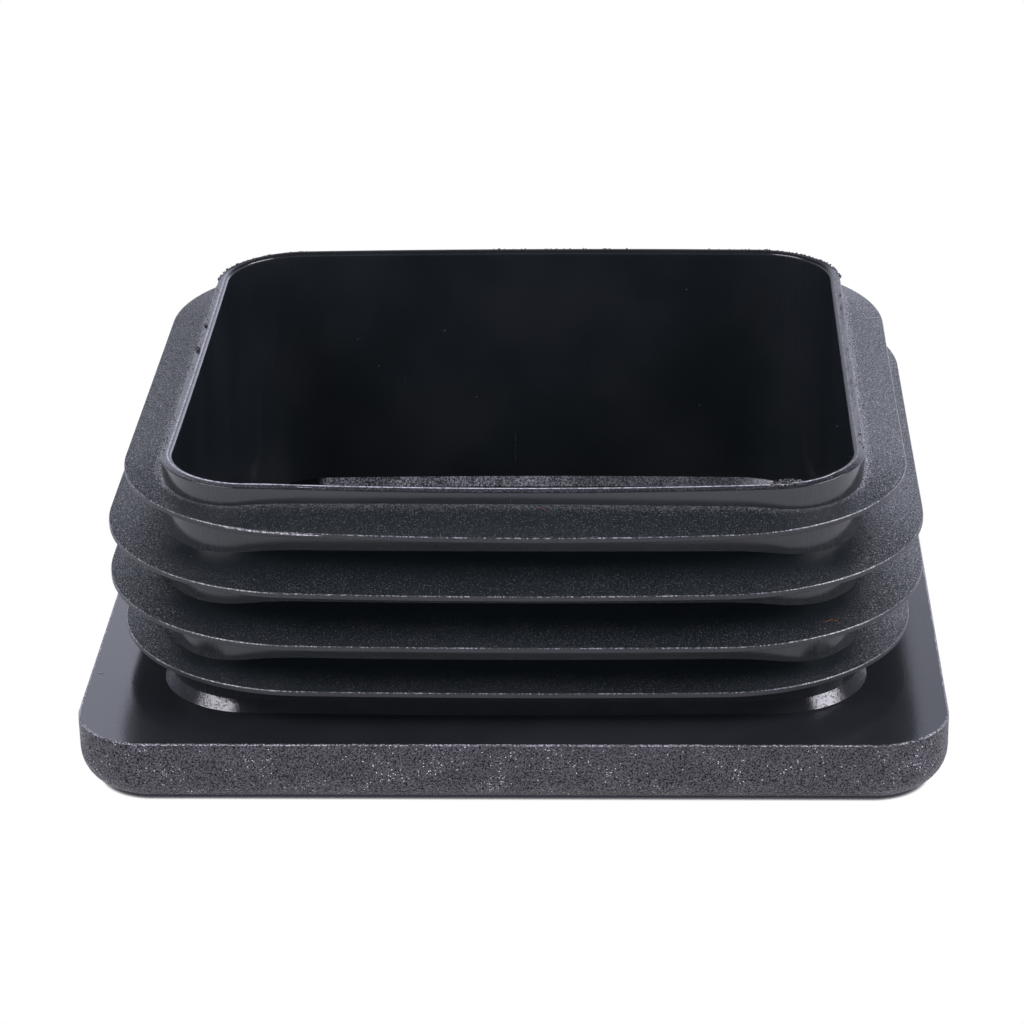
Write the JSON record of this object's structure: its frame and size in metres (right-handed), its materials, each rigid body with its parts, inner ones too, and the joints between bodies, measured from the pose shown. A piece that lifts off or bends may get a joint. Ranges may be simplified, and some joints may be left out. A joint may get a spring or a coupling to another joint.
{
  "type": "square tube end cap",
  "caption": "Square plastic end cap with a hollow plug whose thin flexible fins grip the inside of a square metal tube.",
  "frame": {"origin": "centre of the outer face of the head, the face that is seen once the cap is in its tube", "axes": "+Z from the head towards the open rim of the plug, the way the plug goes into the tube; X and Y across the square sides"},
  "size_m": [0.1, 0.1, 0.0355],
  "materials": {
    "moulded_plastic": "fine spark-eroded grain on the head's side and the fins, polished between them"
  },
  "bodies": {
    "root": {"tube_end_cap": "moulded_plastic"}
  },
  "joints": []
}
